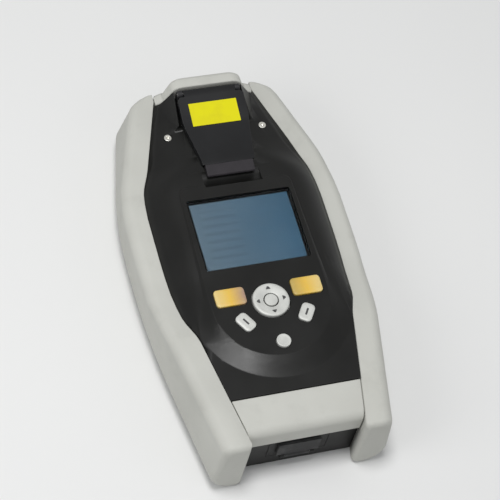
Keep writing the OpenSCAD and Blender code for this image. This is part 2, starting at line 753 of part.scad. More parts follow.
// Keypad
mat_edge = 1;
mat_foot = power_r + 2;
board_edge = 4;
plunger_r = 2.5;
module keypad_mat() {
    half = shield_corners[1].x + mat_edge;
    low = power_y - mat_foot;
    color([0.3, 0.3, 0.32]) translate([-half, low, board_z])
        cube([2 * half, soft_y + soft_h / 2 + mat_edge - low, mat_t]);
}
module keypad_board() {
    high = keypad_at[0].y + board_edge;
    low = keypad_at[1].y - board_edge;
    half = keypad_at[0].x + board_edge;
    color([0.1, 0.35, 0.2]) difference() {
        translate([-half, low, board_z - board_t]) cube([2 * half, high - low, board_t]);
        both(keypad_at) translate([0, 0, board_z - 2 * board_t])
            cylinder(r = small_r + flange_play, h = 3 * board_t);
    }
}
module key() {
    foot_z = seat_z - flange_play - flange_h;
    plunger_z = mat_z + key_travel + flange_play;
    translate([0, 0, foot_z]) linear_extrude(shield_z + key_rise - foot_z) children(0);
    translate([0, 0, foot_z]) linear_extrude(flange_h) children(1);
    translate([0, 0, plunger_z]) cylinder(r = plunger_r, h = foot_z + flange_h / 2 - plunger_z);
}
module soft_key(side) {
    translate([side * soft_x, soft_y, 0]) key() {
        rounded(soft_w, soft_h, soft_corner_r);
        rounded(soft_w + key_flange, soft_h + 2 * key_flange, soft_corner_r);
    }
}
module arc_key(side) {
    arc_place(side) key() {
        rounded(arc_w, arc_l, arc_corner_r);
        rounded(arc_w + 2 * key_flange, arc_l + 2 * key_flange, arc_corner_r + key_flange);
    }
}
module soft_key_left() {
    color([0.9, 0.75, 0.32]) soft_key(-1);
}
module soft_key_right() {
    color([0.9, 0.75, 0.32]) soft_key(1);
}
module arc_key_left() {
    color([0.84, 0.84, 0.82]) arc_key(-1);
}
module arc_key_right() {
    color([0.84, 0.84, 0.82]) arc_key(1);
}
module power_key() {
    color([0.84, 0.84, 0.82]) translate([0, power_y, 0]) key() {
        circle(power_r);
        circle(power_r + key_flange);
    }
}

// Navigation disc on a cross of two round bars, which lets it tilt both ways
cross_arm = 7.5;
disc_rise = 0.2;
disc_edge = [[0, 1.2], [0.4, 0.5], [1.2, 0.1], [2.2, 0]];
disc_dish = 0.6;
disc_dish_w = 1.4;
module nav_cross() {
    color([0.5, 0.5, 0.5]) translate([0, nav_y, 0]) {
        translate([0, 0, cross_high_z]) pin(cross_r, cross_arm);
        translate([0, 0, cross_low_z]) rotate(90) pin(cross_r, cross_arm);
    }
}
module nav_disc() {
    inner = select_r + nav_gap + pin_play;
    top = shield_z + key_rise + disc_rise;
    flange = nav_r + key_flange;
    flange_z = nav_foot_z + flange_h;
    color([0.84, 0.84, 0.82]) translate([0, nav_y, 0]) rotate_extrude()
        polygon(concat([[inner, nav_foot_z], [flange, nav_foot_z], [flange, flange_z], [nav_r, flange_z]],
                       [for (p = disc_edge) [nav_r - p.x, top - p.y]],
                       [[inner + disc_dish_w, top - disc_dish], [inner, top - 1.5 * disc_dish]]));
}
module nav_select() {
    color([0.84, 0.84, 0.82]) translate([0, nav_y, select_foot_z])
        cylinder(r = select_r, h = shield_z + key_rise - disc_rise - select_foot_z);
}

// Sample cover: a capped wedge on a hinge barrel, with a thumb lip and a plain yellow plate
lip_lap = 1.8;
lip_drop = 0.4;
lip_face = [[0, 3.2], [0.8, 2]];
lip_under = 2.8;
lip_in_x = 1.4;
plate_start = 2;
web_z = hinge_z - 1.2;
module door_side() {
    flat_y = knee_y + (door_top_z - knee_z) / tan(door_slope);
    polygon([[lip_y + lip_l + lip_lap, door_under_z], [hinge_y - 9, door_under_z], [hinge_y - 3.6, web_z],
             [hinge_y, web_z], [hinge_y, door_top_z], [flat_y, door_top_z], [knee_y, knee_z],
             [lip_y + lip_l + 2 * lip_lap, door_z], [lip_y + lip_l, door_z - lip_drop]]);
}
module door_plan() {
    notch_y = hinge_y - barrel_r - 1.6;
    polygon(mirrored([[lip_half, lip_y + lip_l - over], [lip_half + 1, lip_y + 18], [door_half, knee_y + 6],
                      [door_half, notch_y - 2], [door_half - 2, notch_y], [barrel_half, notch_y],
                      [barrel_half, hinge_y + over]]));
}
module along_x(half) {
    rotate([90, 0, 90]) linear_extrude(2 * half, center = true) children();
}
module pin(r, half) {
    rotate([0, 90, 0]) cylinder(r = r, h = 2 * half, center = true);
}
module sample_door() {
    color([0.12, 0.12, 0.13]) difference() {
        union() {
            intersection() {
                along_x(door_half) door_side();
                linear_extrude(hoop_z + over) door_plan();
            }
            translate([0, hinge_y, hinge_z]) pin(barrel_r, barrel_half);
        }
        translate([0, hinge_y, hinge_z]) pin(pin_r + pin_play, barrel_half + over);
    }
}
module thumb_lip() {
    color([0.37, 0.35, 0.37]) along_x(lip_half - lip_in_x)
        polygon(concat([for (p = lip_face) [lip_y + p.x, door_z - p.y]],
                       [[lip_y + lip_l, door_z - lip_drop], [lip_y + lip_l + lip_lap, door_under_z],
                        [lip_y + lip_under, door_under_z]]));
}
module door_plate() {
    color([0.94, 0.92, 0.08]) translate([0, knee_y, knee_z]) rotate([door_slope, 0, 0])
        translate([-plate_w / 2, plate_start, 0]) cube([plate_w, plate_h, plate_t]);
}
module door_pin() {
    color([0.7, 0.7, 0.7]) translate([0, hinge_y, hinge_z]) pin(pin_r, barrel_half + ear_w);
}
press_play = 0.01;
bracket_t = 1.6;
bracket_in = 5;
module hinge_bracket() {
    half = barrel_half + ear_w;
    ear = ear_w - seam;
    color([0.3, 0.3, 0.3]) difference() {
        union() {
            translate([-half, hinge_y - bracket_in, pocket_z])
                cube([2 * half, bracket_in + barrel_r, bracket_t]);
            for (side = [-1, 1]) translate([side * (half - ear / 2), hinge_y, 0]) {
                translate([-ear / 2, -barrel_r, pocket_z]) cube([ear, 2 * barrel_r, hinge_z - pocket_z]);
                translate([0, 0, hinge_z]) pin(barrel_r, ear / 2);
            }
        }
        translate([0, hinge_y, hinge_z]) pin(pin_r + press_play, half + over);
    }
}

// Sample well under the cover, with the beam port in its wall
seal_edge = 0.5;
seal_w = 1.5;
seal_gap = 0.3;
module sample_well() {
    color([0.2, 0.2, 0.22]) difference() {
        union() {
            translate([-well_half, well_y - well_run, pocket_z])
                cube([2 * well_half, 2 * well_run, well_flange_z - pocket_z]);
            translate([0, well_y, well_flange_z - well_depth - well_wall])
                cylinder(r = well_r + well_wall, h = well_depth + well_wall);
        }
        translate([0, well_y, well_flange_z - well_depth]) cylinder(r = well_r, h = well_depth + over);
        translate([0, well_y, beam_z]) rotate([90, 0, 0]) cylinder(r = beam_r, h = well_r + well_wall + over);
    }
}
module seal_plan(d) {
    square([2 * (well_half - d), 2 * (well_run - d)], center = true);
}
module door_seal() {
    color([0.3, 0.3, 0.3]) translate([0, well_y, well_flange_z])
        linear_extrude(door_under_z - well_flange_z - seal_gap) difference() {
            seal_plan(seal_edge);
            seal_plan(seal_edge + seal_w);
        }
}

// Optics behind the well, on a plate on the floor of the rear cover
optics_low_y = -18;
block_l = 20;
block_half = 20;
block_cap = 6;
plate_half = 27;
plate_rise = 8;
plate_z = floor_z + plate_rise;
lens_gap = 0.3;
lens_y = well_y - well_r - well_wall - lens_gap;
lens_r = beam_r + 0.15;
lens_t = 2;
lens_in = 1;
lens_wall = 2;
laser_r = 7.5;
laser_x = 12;
laser_in = 8;
spectrometer_h = 16;
optics_edge = 1;
module lens_barrel() {
    l = lens_y - block_y - block_l;
    color([0.2, 0.2, 0.22]) translate([0, lens_y, beam_z]) rotate([90, 0, 0]) difference() {
        cylinder(r = lens_r + pin_play + lens_wall, h = l);
        translate([0, 0, -over]) cylinder(r = lens_r + pin_play, h = l + 2 * over);
    }
}
module lens() {
    color([0.6, 0.75, 0.8, 0.6]) translate([0, lens_y - lens_in, beam_z]) rotate([90, 0, 0])
        cylinder(r = lens_r, h = lens_t);
}
module optical_plate() {
    color([0.6, 0.6, 0.6]) translate([-plate_half, optics_low_y, floor_z])
        cube([2 * plate_half, block_y + block_l - optics_low_y + optics_edge, plate_rise]);
}
module beam_block() {
    color([0.15, 0.15, 0.15]) translate([-block_half, block_y, plate_z])
        cube([2 * block_half, block_l, beam_z + block_cap - plate_z]);
}
module laser_module() {
    color([0.7, 0.6, 0.35]) translate([laser_x, block_y, plate_z + laser_r]) rotate([90, 0, 0])
        cylinder(r = laser_r, h = block_y - optics_low_y - laser_in);
}
module spectrometer_box() {
    start = optics_low_y + 2 * optics_edge;
    color([0.15, 0.15, 0.17]) translate([optics_edge - plate_half, start, plate_z])
        cube([plate_half + optics_edge, block_y - start, spectrometer_h]);
}

// Main board on the posts of the rear cover
module main_board() {
    half = board_at[0].x + board_edge;
    low = board_at[0].y - board_edge;
    color([0.1, 0.35, 0.2]) difference() {
        translate([-half, low, main_board_z]) cube([2 * half, board_at[1].y + board_edge - low, board_t]);
        both(board_at) translate([0, 0, main_board_z - over])
            cylinder(r = small_r + flange_play, h = board_t + 2 * over);
    }
}

// Battery: a bay with hinge ears over the opening, the pack, and the door on its pin
bay_wall = 2;
battery_barrel_r = 2;
battery_pin_r = 1;
battery_barrel_half = 20;
battery_ear_w = 4;
battery_ear_h = 8;
battery_ear_gap = 0.3;
battery_ear_x = battery_barrel_half + battery_ear_gap + battery_ear_w / 2;
battery_door_t = 2.2;
battery_lift = 0.6;
battery_axis_z = panel_z + battery_barrel_r + battery_lift;
notch_gap = 0.8;
nail_r = 6.6;
nail_w = 18;
nail_in = 8;
module battery_ear() {
    w = battery_ear_w;
    translate([-w / 2, battery_hinge_y, battery_axis_z - battery_barrel_r])
        cube([w, battery_end_y - battery_hinge_y, 2 * battery_barrel_r]);
    translate([-w / 2, battery_hinge_y, floor_z])
        cube([w, battery_end_y + bay_wall / 2 - battery_hinge_y, battery_ear_h]);
    translate([0, battery_hinge_y, battery_axis_z]) pin(battery_barrel_r, w / 2);
}
module battery_bay() {
    half = battery_half + bay_wall;
    low = battery_low_y - bay_wall;
    high = battery_end_y + bay_wall;
    room_h = battery_h + over;
    color([0.2, 0.2, 0.2]) difference() {
        union() {
            difference() {
                translate([-half, low, floor_z]) cube([2 * half, high - low, room_h + bay_wall]);
                translate([-battery_half, battery_low_y, floor_z - over])
                    cube([2 * battery_half, battery_end_y - battery_low_y, room_h + over]);
            }
            for (side = [-1, 1]) translate([side * battery_ear_x, 0, 0]) battery_ear();
        }
        translate([0, battery_hinge_y, battery_axis_z]) pin(battery_pin_r + press_play, battery_half);
    }
}
module battery_pack() {
    end_y = battery_hinge_y - battery_barrel_r - 1;
    color([0.12, 0.12, 0.14])
        translate([battery_play - battery_half, battery_low_y + battery_play, floor_z + battery_lift])
        cube([2 * (battery_half - battery_play), end_y - battery_low_y - battery_play, battery_h]);
}
module battery_door() {
    notch_y = battery_hinge_y - battery_barrel_r - notch_gap;
    color([0.16, 0.16, 0.15]) difference() {
        union() {
            translate([-battery_half, battery_low_y, panel_z])
                cube([2 * battery_half, notch_y - battery_low_y, battery_door_t]);
            translate([-battery_barrel_half, notch_y - over, panel_z])
                cube([2 * battery_barrel_half, battery_hinge_y - notch_y + over, battery_door_t]);
            translate([0, battery_hinge_y, battery_axis_z]) pin(battery_barrel_r, battery_barrel_half);
        }
        translate([0, battery_hinge_y, battery_axis_z]) pin(battery_pin_r + pin_play, battery_half);
        translate([0, battery_low_y + nail_in, panel_z + over - nail_r]) pin(nail_r, nail_w / 2);
    }
}
module battery_pin() {
    color([0.7, 0.7, 0.7]) translate([0, battery_hinge_y, battery_axis_z])
        pin(battery_pin_r, battery_barrel_half + battery_ear_w);
}

// Socket on the lower end, behind a hinged cover
panel_t = 3;
socket_wall = 1.5;
socket_collar = 1.5;
port_half = 15;
port_t = 2.2;
port_gap = 0.4;
port_edge = 0.5;
port_barrel_r = 1.6;
port_barrel_half = 9;
port_pin_r = 0.8;
port_ear_w = 3;
panel_face_y = core_low_y;
port_axis_y = panel_face_y - port_barrel_r - port_edge;
port_axis_z = socket_low_z + port_barrel_r + seal_gap;
socket_z = (socket_low_z + socket_high_z) / 2 + 1.5;
module socket_panel() {
    color([0.15, 0.15, 0.15]) difference() {
        union() {
            translate([-socket_half, panel_face_y, socket_low_z])
                cube([2 * socket_half, panel_t, socket_high_z - socket_low_z]);
            for (side = [-1, 1])
                translate([side * (port_barrel_half + seal_gap + port_ear_w / 2), port_axis_y, port_axis_z]) {
                    pin(port_barrel_r, port_ear_w / 2);
                    translate([-port_ear_w / 2, 0, -port_barrel_r])
                        cube([port_ear_w, port_barrel_r + port_edge + eps, 2 * port_barrel_r]);
                }
        }
        translate([0, port_axis_y, port_axis_z]) pin(port_pin_r + press_play, socket_half);
        translate([0, panel_face_y - over, socket_z]) rotate([-90, 0, 0])
            cylinder(r = socket_r + socket_wall + pin_play, h = panel_t + 2 * over);
    }
}
module data_socket() {
    color([0.7, 0.7, 0.72]) translate([0, panel_face_y, socket_z]) rotate([-90, 0, 0]) difference() {
        union() {
            cylinder(r = socket_r + socket_wall, h = socket_depth + 2);
            translate([0, 0, panel_t])
                cylinder(r = socket_r + socket_wall + socket_collar, h = socket_collar);
        }
        translate([0, 0, -over]) cylinder(r = socket_r, h = socket_depth + over);
    }
}
module port_cover() {
    low = port_axis_z + port_barrel_r + port_gap;
    back_y = panel_face_y - port_gap - port_t;
    color([0.13, 0.13, 0.13]) difference() {
        union() {
            translate([-port_half, back_y, low])
                cube([2 * port_half, port_t, socket_high_z - port_edge - low]);
            translate([-port_barrel_half, back_y, port_axis_z])
                cube([2 * port_barrel_half, port_t, low + over - port_axis_z]);
            translate([0, port_axis_y, port_axis_z]) pin(port_barrel_r, port_barrel_half);
        }
        translate([0, port_axis_y, port_axis_z]) pin(port_pin_r + pin_play, port_half);
    }
}
module port_pin() {
    color([0.7, 0.7, 0.7]) translate([0, port_axis_y, port_axis_z])
        pin(port_pin_r, port_barrel_half + port_ear_w);
}

front_cover();
rear_cover();
bumper_left();
bumper_right();
bumper_bar();
bumper_hoop();
housing_gasket();
housing_screws();
nose_screws();
display_window();
display_module();
keypad_mat();
keypad_board();
keypad_screws();
soft_key_left();
soft_key_right();
arc_key_left();
arc_key_right();
power_key();
nav_cross();
nav_disc();
nav_select();
sample_door();
thumb_lip();
door_plate();
door_pin();
hinge_bracket();
door_seal();
sample_well();
lens_barrel();
lens();
optical_plate();
beam_block();
laser_module();
spectrometer_box();
main_board();
board_screws();
battery_bay();
battery_pack();
battery_door();
battery_pin();
socket_panel();
data_socket();
port_cover();
port_pin();
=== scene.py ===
"""Handheld analyzer: a black housing in a light grey bumper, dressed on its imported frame."""

import json
import math

import bmesh
import bpy
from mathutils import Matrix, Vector

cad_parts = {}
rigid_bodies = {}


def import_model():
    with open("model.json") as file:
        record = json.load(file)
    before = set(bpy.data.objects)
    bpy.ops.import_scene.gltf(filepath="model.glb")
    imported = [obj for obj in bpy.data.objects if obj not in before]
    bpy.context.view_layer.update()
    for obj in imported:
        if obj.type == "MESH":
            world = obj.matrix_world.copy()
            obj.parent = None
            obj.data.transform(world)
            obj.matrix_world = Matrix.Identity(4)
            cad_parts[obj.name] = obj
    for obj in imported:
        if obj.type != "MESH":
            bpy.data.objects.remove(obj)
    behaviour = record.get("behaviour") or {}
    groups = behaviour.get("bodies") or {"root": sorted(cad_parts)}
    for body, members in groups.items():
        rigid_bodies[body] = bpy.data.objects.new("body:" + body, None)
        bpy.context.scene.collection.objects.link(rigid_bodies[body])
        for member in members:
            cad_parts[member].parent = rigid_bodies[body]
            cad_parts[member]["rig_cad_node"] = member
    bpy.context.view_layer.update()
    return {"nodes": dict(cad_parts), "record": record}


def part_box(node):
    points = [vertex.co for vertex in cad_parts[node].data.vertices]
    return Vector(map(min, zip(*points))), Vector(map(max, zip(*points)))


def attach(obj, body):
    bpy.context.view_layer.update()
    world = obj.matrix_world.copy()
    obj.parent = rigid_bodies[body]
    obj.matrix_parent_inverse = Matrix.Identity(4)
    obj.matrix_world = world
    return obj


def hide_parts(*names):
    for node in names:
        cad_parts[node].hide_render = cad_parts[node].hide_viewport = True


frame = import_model()

MM = 0.001
NODE_BODY = {node: body for body, nodes in frame["record"]["behaviour"]["bodies"].items() for node in nodes}

# The photograph's camera, with its field of view narrowed about the middle of the frame
PHOTO_CAMERA = (-0.35432, -0.62691, 1.18775)
PHOTO_TURN = (31.445, -8.711, -15.336)
PHOTO_LENS = 64.8
ZOOM = 2.15

# Places of the screws, of the screen and of the disc, as in the solids
NOSE_SCREWS = [(-35.4, 104.0), (35.4, 104.0)]
HOUSING_SCREWS = [(side * x, y) for side in (-1, 1) for x, y in ((45, -100), (48, 20), (38, 120))]
SOFT_KEY = (21.4 * MM, 13.3 * MM, 22.9 * MM, 16.3 * MM)
ARC_KEY = (9.4 * MM, 14 * MM, 12.4 * MM, 17 * MM)
KEY_SIZES = {"soft_key_left": SOFT_KEY, "soft_key_right": SOFT_KEY, "arc_key_left": ARC_KEY, "arc_key_right": ARC_KEY}
KEY_PLUNGER = (2.5 * MM, 2.5 * MM)
KEY_FLANGE = (1.5 * MM, 1.2 * MM)
SCREEN = (73 * MM, 54.8 * MM)
DISC_MARK_RADIUS = 9.2 * MM
SLOPE = (41.5 * MM, 56.5 * MM)
SLOPE_RIM = 1 * MM
SLOPE_FOOT = 57.5 * MM
SLOPE_TURN = (7, 91)
SLOPE_END = (4, 48)
SHIELD_TOP = 61.5 * MM
SHOULDER_ROWS = [place * MM for place in range(-68, -13, 3)]
SHOULDER_LINES = [side * place * MM for side in (-1, 1) for place in range(33, 58, 3)]
SHOULDER = (39 * MM, 56.5 * MM)
SHOULDER_LOW = -53 * MM
SHOULDER_PASSES = [(limit * MM, 2) for limit in range(-16, -32, -2)] + [(-32 * MM, 30)]
WAIST_POST = (48 * MM, 20 * MM, 4 * MM)


class Finish:
    """A material made of nodes, on the piece's own coordinates."""

    def __init__(self, name, fixed=None):
        self.material = bpy.data.materials.new(name)
        self.material.use_nodes = True
        self.nodes = self.material.node_tree.nodes
        self.links = self.material.node_tree.links
        self.shader = self.nodes["Principled BSDF"]
        for socket, value in (fixed or {}).items():
            self.shader.inputs[socket].default_value = value
        self.place = self.nodes.new("ShaderNodeTexCoord").outputs["Object"]

    def add(self, kind, inputs=None, **settings):
        node = self.nodes.new(kind)
        for name, value in settings.items():
            setattr(node, name, value)
        for socket, value in (inputs or {}).items():
            if isinstance(value, bpy.types.NodeSocket):
                self.links.new(value, node.inputs[socket])
            else:
                node.inputs[socket].default_value = value
        return node

    def noise(self, scale, detail=3.0, rough=0.5, place=None):
        inputs = {"Vector": place or self.place, "Scale": scale, "Detail": detail, "Roughness": rough}
        return self.add("ShaderNodeTexNoise", inputs).outputs[0]

    def cells(self, scale):
        return self.add("ShaderNodeTexVoronoi", {"Vector": self.place, "Scale": scale}).outputs["Distance"]

    def stretched(self, x, y, z):
        return self.add("ShaderNodeMapping", {"Vector": self.place, "Scale": (x, y, z)}).outputs[0]

    def spread(self, value, low, high, to_low=0.0, to_high=1.0):
        inputs = {"Value": value, "From Min": low, "From Max": high, "To Min": to_low, "To Max": to_high}
        return self.add("ShaderNodeMapRange", inputs).outputs[0]

    def math(self, operation, a, b=0.0):
        return self.add("ShaderNodeMath", {0: a, 1: b}, operation=operation).outputs[0]

    def mix(self, factor, a, b):
        def colour(c):
            return c if isinstance(c, bpy.types.NodeSocket) else (*c, 1.0)
        return self.add("ShaderNodeMix", {0: factor, 6: colour(a), 7: colour(b)}, data_type="RGBA").outputs[2]

    def axis(self, name):
        return self.add("ShaderNodeSeparateXYZ", {0: self.place}).outputs[name]

    def rounded_normal(self, radius):
        return self.add("ShaderNodeBevel", {"Radius": radius}, samples=4).outputs[0]

    def edges(self, radius):
        flat = self.add("ShaderNodeNewGeometry").outputs["Normal"]
        same = self.add("ShaderNodeVectorMath", {0: self.rounded_normal(radius), 1: flat},
                        operation="DOT_PRODUCT").outputs["Value"]
        return self.spread(same, 0.985, 0.80)

    def colour(self, socket):
        self.links.new(socket, self.shader.inputs["Base Color"])

    def roughness(self, socket):
        self.links.new(socket, self.shader.inputs["Roughness"])

    def relief(self, height, strength, distance, edge=0.0):
        inputs = {"Height": height, "Strength": strength, "Distance": distance}
        if edge:
            inputs["Normal"] = self.rounded_normal(edge)
        self.links.new(self.add("ShaderNodeBump", inputs).outputs[0], self.shader.inputs["Normal"])


def bumper_rubber():
    """Warm light grey rubber with a fine moulded grain and handling marks along its edges."""
    rubber = Finish("light_grey_rubber", {"Specular IOR Level": 0.32})
    grime = rubber.spread(rubber.noise(16, 5.0), 0.38, 0.72)
    tone = rubber.mix(grime, (0.540, 0.540, 0.500), (0.485, 0.485, 0.447))
    smudge = rubber.spread(rubber.noise(60, 4.0, 0.6), 0.56, 0.78, 0.0, 0.22)
    tone = rubber.mix(smudge, tone, (0.36, 0.357, 0.325))
    wear = rubber.math("MULTIPLY", rubber.edges(1.4 * MM), rubber.spread(rubber.noise(95, 4.0), 0.42, 0.66, 0.0, 0.4))
    rubber.colour(rubber.mix(wear, tone, (0.33, 0.33, 0.305)))
    grain = rubber.noise(1500, 2.0)
    rubber.roughness(rubber.spread(grain, 0.3, 0.7, 0.56, 0.72))
    rubber.relief(grain, 0.30, 0.05 * MM, 0.7 * MM)
    return rubber.material


def housing_plastic(name, tone, gloss, grain_scale):
    """Black moulded plastic with a fine spark-eroded grain, paler where its edges have rubbed."""
    plastic = Finish(name, {"Specular IOR Level": 0.28})
    dust = plastic.spread(plastic.noise(38, 5.0, 0.6), 0.45, 0.75, 0.0, 0.35)
    shade = plastic.mix(dust, tone, tuple(1.9 * c + 0.003 for c in tone))
    scuff = plastic.math("MULTIPLY", plastic.edges(0.8 * MM), plastic.spread(plastic.noise(120, 4.0), 0.42, 0.68, 0.0, 0.5))
    plastic.colour(plastic.mix(scuff, shade, (0.075, 0.075, 0.072)))
    grain = plastic.cells(grain_scale)
    rubbed = plastic.noise(24, 4.0)
    plastic.roughness(plastic.spread(rubbed, 0.3, 0.7, gloss - 0.06, gloss + 0.08))
    plastic.relief(grain, 0.22, 0.04 * MM, 0.4 * MM)
    return plastic.material


def key_silver():
    """Silver-white lacquer on the keys, a little rubbed."""
    lacquer = Finish("silver_white_lacquer", {"Metallic": 0.15, "Specular IOR Level": 0.4})
    cloud = lacquer.spread(lacquer.noise(180, 4.0), 0.35, 0.7)
    tone = lacquer.mix(cloud, (0.59, 0.595, 0.565), (0.51, 0.515, 0.49))
    rubbed = lacquer.math("MULTIPLY", lacquer.edges(0.6 * MM), lacquer.spread(lacquer.noise(420, 3.0), 0.4, 0.65, 0.0, 0.45))
    lacquer.colour(lacquer.mix(rubbed, tone, (0.36, 0.36, 0.35)))
    flake = lacquer.noise(3200, 1.0)
    lacquer.roughness(lacquer.spread(flake, 0.3, 0.7, 0.42, 0.54))
    lacquer.relief(flake, 0.12, 0.02 * MM, 0.25 * MM)
    return lacquer.material


def key_amber(name, side, painted_shade_colour):
    """Amber silicone, with a painted highlight paling its outer end and painted shade dulling it towards the disc."""
    silicone = Finish(name, {"Subsurface Weight": 0.15, "Subsurface Radius": (0.004, 0.002, 0.001),
                             "Subsurface Scale": 0.5, "Specular IOR Level": 0.45})
    inward = silicone.spread(silicone.axis("X"), side * 38 * MM, side * 17 * MM)
    # painted highlight: paler amber at the key's outer end
    lit_to_shaded_amber = silicone.mix(silicone.spread(inward, 0.05, 0.5), (0.72, 0.56, 0.23), (0.74, 0.47, 0.06))
    # painted shade: duller colour at the key's inner end, towards the disc
    lit_to_shaded_amber = silicone.mix(silicone.spread(inward, 0.5, 1.0), lit_to_shaded_amber, painted_shade_colour)
    cloud = silicone.spread(silicone.noise(150, 4.0), 0.4, 0.7, 0.0, 0.3)
    silicone.colour(silicone.mix(cloud, lit_to_shaded_amber, (0.68, 0.49, 0.15)))
    grain = silicone.noise(2200, 2.0)
    silicone.roughness(silicone.spread(grain, 0.3, 0.7, 0.40, 0.52))
    silicone.relief(grain, 0.12, 0.03 * MM, 0.3 * MM)
    return silicone.material


def printed_mark():
    """Dark grey print on the keys."""
    ink = Finish("dark_grey_print", {"Specular IOR Level": 0.3})
    cloud = ink.spread(ink.noise(700, 3.0), 0.35, 0.7)
    ink.colour(ink.mix(cloud, (0.050, 0.050, 0.052), (0.085, 0.085, 0.085)))
    ink.roughness(ink.spread(cloud, 0.0, 1.0, 0.45, 0.6))
    return ink.material


def lip_plastic():
    """Grey-purple soft plastic of the thumb lip, with a painted highlight along its edges."""
    soft = Finish("grey_lip_plastic", {"Specular IOR Level": 0.22})
    cloud = soft.spread(soft.noise(150, 4.0), 0.35, 0.7)
    tone = soft.mix(cloud, (0.024, 0.021, 0.025), (0.018, 0.016, 0.019))
    # paler edges: a painted highlight where the lip's edges catch light
    soft.colour(soft.mix(soft.math("MULTIPLY", soft.edges(0.7 * MM), 0.4), tone, (0.052, 0.047, 0.052)))
    grain = soft.noise(1800, 2.0)
    soft.roughness(soft.spread(grain, 0.3, 0.7, 0.42, 0.56))
    soft.relief(grain, 0.2, 0.04 * MM, 0.4 * MM)
    return soft.material


def plate_yellow():
    """Plain yellow enamel of the plate on the cover, with faint rubbing."""
    enamel = Finish("plain_yellow_enamel", {"Specular IOR Level": 0.12})
    cloud = enamel.spread(enamel.noise(110, 4.0), 0.4, 0.75)
    tone = enamel.mix(cloud, (0.72, 0.67, 0.008), (0.66, 0.60, 0.012))
    rub = enamel.math("MULTIPLY", enamel.edges(0.5 * MM), enamel.spread(enamel.noise(500, 3.0), 0.45, 0.65, 0.0, 0.6))
    enamel.colour(enamel.mix(rub, tone, (0.45, 0.42, 0.08)))
    grain = enamel.noise(2600, 2.0)
    enamel.roughness(enamel.spread(grain, 0.3, 0.7, 0.34, 0.46))
    enamel.relief(grain, 0.1, 0.02 * MM, 0.15 * MM)
    return enamel.material


def brushed_steel(name, tone, turn):
    """Metal with fine lines along one axis and patches of duller finish."""
    steel = Finish(name, {"Metallic": 1.0})
    lines = steel.noise(60, 6.0, 0.6, steel.stretched(*turn))
    patch = steel.spread(steel.noise(90, 4.0), 0.35, 0.7)
    steel.colour(steel.mix(patch, tone, tuple(0.78 * c for c in tone)))
    steel.roughness(steel.spread(lines, 0.3, 0.7, 0.24, 0.42))
    steel.relief(lines, 0.12, 0.02 * MM, 0.2 * MM)
    return steel.material


def seal_rubber():
    """Dark grey seal rubber with a talc bloom."""
    rubber = Finish("dark_seal_rubber", {"Specular IOR Level": 0.25})
    bloom = rubber.spread(rubber.noise(130, 5.0), 0.45, 0.75)
    rubber.colour(rubber.mix(bloom, (0.045, 0.045, 0.046), (0.085, 0.085, 0.084)))
    grain = rubber.noise(1700, 2.0)
    rubber.roughness(rubber.spread(grain, 0.3, 0.7, 0.66, 0.82))
    rubber.relief(grain, 0.25, 0.04 * MM)
    return rubber.material


def board_lacquer():
    """Green solder mask with copper runs under it."""
    mask = Finish("green_board_lacquer", {"Specular IOR Level": 0.5})
    runs = mask.add("ShaderNodeTexBrick", {"Vector": mask.place, "Scale": 120.0, "Mortar Size": 0.05}).outputs["Fac"]
    cloud = mask.spread(mask.noise(60, 4.0), 0.35, 0.7, 0.0, 0.5)
    tone = mask.mix(cloud, (0.010, 0.080, 0.032), (0.016, 0.105, 0.045))
    mask.colour(mask.mix(runs, tone, (0.028, 0.17, 0.06)))
    mask.roughness(mask.spread(mask.noise(300, 2.0), 0.3, 0.7, 0.28, 0.4))
    mask.relief(runs, 0.3, 0.03 * MM)
    return mask.material


def window_glass():
    """Clear anti-glare window with a faint film of dust."""
    glass = Finish("clear_window", {"Transmission Weight": 1.0, "IOR": 1.25, "Base Color": (0.93, 0.97, 1.0, 1.0)})
    film = glass.spread(glass.noise(45, 5.0), 0.45, 0.8, 0.14, 0.26)
    glass.roughness(film)
    return glass.material


def screen_picture():
    """Lit panel: grey-blue on the left and bluer on the right, with faint plain rows on the left."""
    panel = Finish("lit_panel", {"Specular IOR Level": 0.2, "Roughness": 0.5, "Emission Strength": 0.5})
    across, along = panel.axis("X"), panel.axis("Y")
    half = SCREEN[0] / 2
    tone = panel.mix(panel.spread(across, -half, half * 0.85), (0.076, 0.111, 0.138), (0.021, 0.065, 0.106))
    tone = panel.mix(panel.spread(panel.noise(34, 3.0), 0.4, 0.7, 0.0, 0.35), tone, (0.060, 0.096, 0.129))
    rows = panel.math("GREATER_THAN", panel.math("FRACT", panel.math("DIVIDE", along, 6.4 * MM)), 0.6)
    left = panel.math("LESS_THAN", across, -5 * MM)
    inner = panel.math("GREATER_THAN", across, -half + 6 * MM)
    middle = panel.math("LESS_THAN", panel.math("ABSOLUTE", panel.math("SUBTRACT", along, 15 * MM)), 22 * MM)
    marks = panel.math("MULTIPLY", panel.math("MULTIPLY", rows, left), panel.math("MULTIPLY", inner, middle))
    tone = panel.mix(panel.math("MULTIPLY", marks, 0.28), tone, (0.029, 0.048, 0.066))
    dots = panel.math("GREATER_THAN", panel.math("FRACT", panel.math("DIVIDE", along, 0.46 * MM)), 0.8)
    tone = panel.mix(panel.math("MULTIPLY", dots, 0.12), tone, (0.014, 0.028, 0.048))
    panel.colour(tone)
    panel.links.new(tone, panel.shader.inputs["Emission Color"])
    return panel.material


def pick(kind, test):
    """Selects the points, edges or faces of the piece in edit mode that pass a test."""
    bpy.ops.mesh.select_mode(type=kind)
    bpy.ops.mesh.select_all(action="DESELECT")
    data = bpy.context.object.data
    mesh = bmesh.from_edit_mesh(data)
    parts = {"VERT": mesh.verts, "EDGE": mesh.edges, "FACE": mesh.faces}[kind]
    for part in [p for p in parts if test(p)]:
        part.select_set(True)
    bmesh.update_edit_mesh(data)


def facing(x, y, z):
    """A test for faces that look along a direction."""
    return lambda face: face.normal.dot(Vector((x, y, z))) > 0.99


